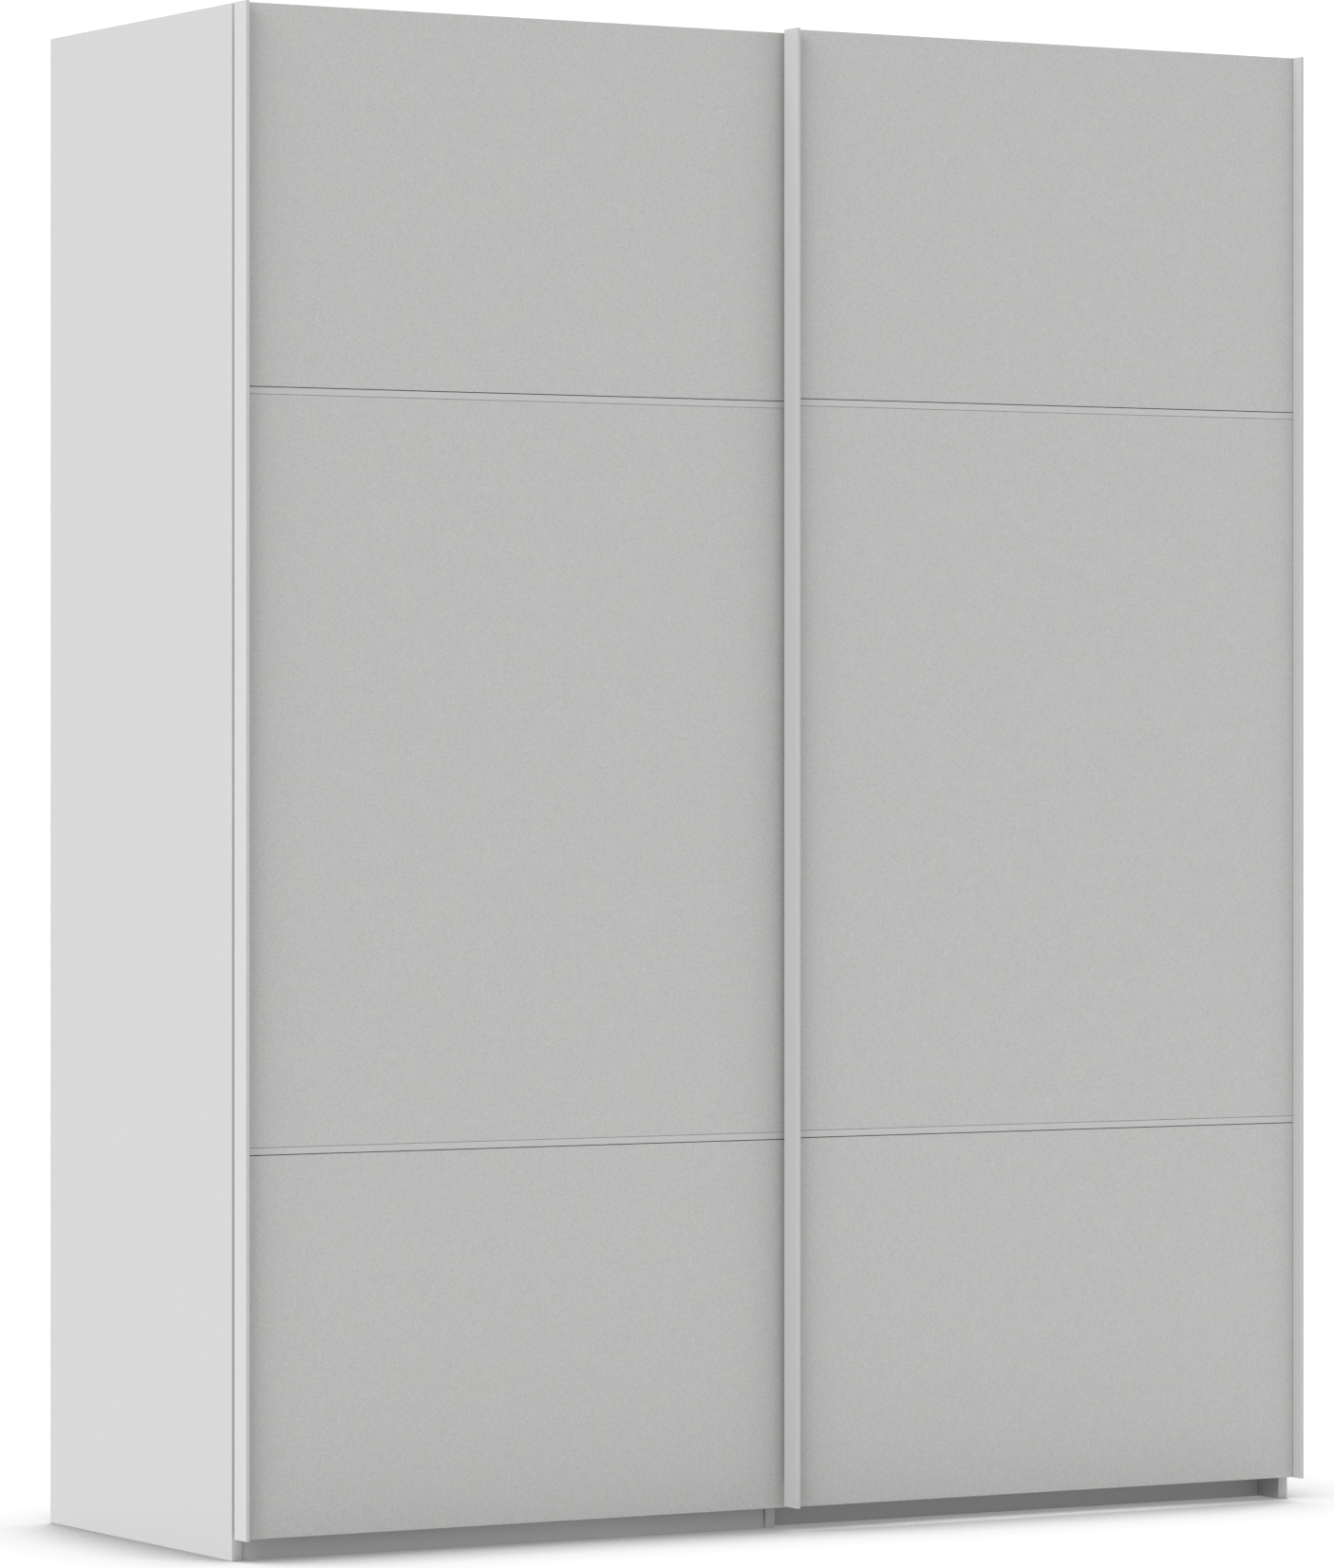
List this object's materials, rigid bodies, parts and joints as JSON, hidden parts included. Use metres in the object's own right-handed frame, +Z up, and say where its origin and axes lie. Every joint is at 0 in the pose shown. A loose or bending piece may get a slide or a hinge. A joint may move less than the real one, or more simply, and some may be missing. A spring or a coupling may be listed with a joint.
{
  "type": "sliding door wardrobe",
  "caption": "Tall floor-standing wardrobe with a rear and a front sliding door on a top track, full-height grip strips, narrow dividers, shelves and a clothes rail behind.",
  "frame": {"origin": "on the floor, at the middle of the bounding box in X and Y", "axes": "+Z up, -Y towards the front with the doors, +X to the right as seen from the front"},
  "size_m": [1.709, 0.6406, 2.1034],
  "materials": {
    "carcass_board": "light grey melamine-faced board, matte",
    "door_board": "light grey melamine-faced board, matte",
    "grip_profile": "light grey lacquered profile, matte",
    "back_board": "thin fibreboard, grey printed face",
    "aluminium": "anodised, satin",
    "zinc_steel": "zinc plated steel",
    "chrome_tube": "polished chrome",
    "nylon": "off-white nylon",
    "black_rubber": "matte black rubber"
  },
  "bodies": {
    "cabinet": {"back_joint_left": "nylon", "back_joint_right": "nylon", "back_panel_lower_left": "back_board", "back_panel_lower_right": "back_board", "back_panel_upper_left": "back_board", "back_panel_upper_right": "back_board", "bottom_panel_left": "carcass_board", "bottom_panel_right": "carcass_board", "centre_partition": "carcass_board", "clothes_rail": "chrome_tube", "fascia_left": "carcass_board", "fascia_right": "carcass_board", "guide_block": "nylon", "hat_shelf_left": "carcass_board", "plinth_left": "carcass_board", "plinth_right": "carcass_board", "rail_bracket_left": "zinc_steel", "rail_bracket_right": "zinc_steel", "rear_plinth_left": "carcass_board", "rear_plinth_right": "carcass_board", "running_track": "aluminium", "shelf_right_1": "carcass_board", "shelf_right_2": "carcass_board", "shelf_right_3": "carcass_board", "shelf_right_4": "carcass_board", "side_panel_left": "carcass_board", "side_panel_right": "carcass_board", "top_panel": "carcass_board", "track_stop_front_left": "black_rubber", "track_stop_front_right": "black_rubber", "track_stop_rear_left": "black_rubber", "track_stop_rear_right": "black_rubber"},
    "rear_door": {"rear_door_divider_lower": "grip_profile", "rear_door_divider_upper": "grip_profile", "rear_door_guide_shoe": "nylon", "rear_door_hanger_left": "zinc_steel", "rear_door_hanger_right": "zinc_steel", "rear_door_panel_lower": "door_board", "rear_door_panel_middle": "door_board", "rear_door_panel_upper": "door_board", "rear_door_strip_left": "grip_profile", "rear_door_strip_right": "grip_profile"},
    "front_door": {"front_door_divider_lower": "grip_profile", "front_door_divider_upper": "grip_profile", "front_door_hanger_left": "zinc_steel", "front_door_hanger_right": "zinc_steel", "front_door_panel_lower": "door_board", "front_door_panel_middle": "door_board", "front_door_panel_upper": "door_board", "front_door_strip_left": "grip_profile", "front_door_strip_right": "grip_profile"},
    "front_door_cam_left": {"front_door_cam_left": "zinc_steel"},
    "front_door_cam_right": {"front_door_cam_right": "zinc_steel"},
    "front_door_roller_left": {"front_door_roller_left": "nylon"},
    "front_door_roller_right": {"front_door_roller_right": "nylon"},
    "rear_door_cam_left": {"rear_door_cam_left": "zinc_steel"},
    "rear_door_cam_right": {"rear_door_cam_right": "zinc_steel"},
    "rear_door_roller_left": {"rear_door_roller_left": "nylon"},
    "rear_door_roller_right": {"rear_door_roller_right": "nylon"}
  },
  "joints": [
    {"name": "rear_door_slide", "type": "slide", "parent": "cabinet", "child": "rear_door", "axis": [1, 0, 0], "range_m": [0, 0.83]},
    {"name": "front_door_slide", "type": "slide", "parent": "cabinet", "child": "front_door", "axis": [1, 0, 0], "range_m": [-0.83, 0]},
    {"name": "rear_door_roller_left_spin", "type": "hinge", "parent": "rear_door", "child": "rear_door_roller_left", "pos_m": [-0.7545, -0.248, 2.08], "axis": [0, 1, 0], "continuous": true},
    {"name": "rear_door_roller_right_spin", "type": "hinge", "parent": "rear_door", "child": "rear_door_roller_right", "pos_m": [-0.0931, -0.248, 2.08], "axis": [0, 1, 0], "continuous": true},
    {"name": "rear_door_cam_left_turn", "type": "hinge", "parent": "rear_door", "child": "rear_door_cam_left", "pos_m": [-0.7545, -0.25645, 2.043], "axis": [0, 1, 0], "range_deg": [-90, 90]},
    {"name": "rear_door_cam_right_turn", "type": "hinge", "parent": "rear_door", "child": "rear_door_cam_right", "pos_m": [-0.0931, -0.25645, 2.043], "axis": [0, 1, 0], "range_deg": [-90, 90]},
    {"name": "front_door_roller_left_spin", "type": "hinge", "parent": "front_door", "child": "front_door_roller_left", "pos_m": [0.0931, -0.234, 2.08], "axis": [0, 1, 0], "continuous": true},
    {"name": "front_door_roller_right_spin", "type": "hinge", "parent": "front_door", "child": "front_door_roller_right", "pos_m": [0.7545, -0.234, 2.08], "axis": [0, 1, 0], "continuous": true},
    {"name": "front_door_cam_left_turn", "type": "hinge", "parent": "front_door", "child": "front_door_cam_left", "pos_m": [0.0931, -0.28315, 2.043], "axis": [0, 1, 0], "range_deg": [-90, 90]},
    {"name": "front_door_cam_right_turn", "type": "hinge", "parent": "front_door", "child": "front_door_cam_right", "pos_m": [0.7545, -0.28315, 2.043], "axis": [0, 1, 0], "range_deg": [-90, 90]}
  ],
  "couplings": [
    {"joint": "rear_door_roller_left_spin", "follows": "rear_door_slide", "rad_per_m": 80},
    {"joint": "rear_door_roller_right_spin", "follows": "rear_door_slide", "rad_per_m": 80},
    {"joint": "front_door_roller_left_spin", "follows": "front_door_slide", "rad_per_m": 80},
    {"joint": "front_door_roller_right_spin", "follows": "front_door_slide", "rad_per_m": 80}
  ]
}
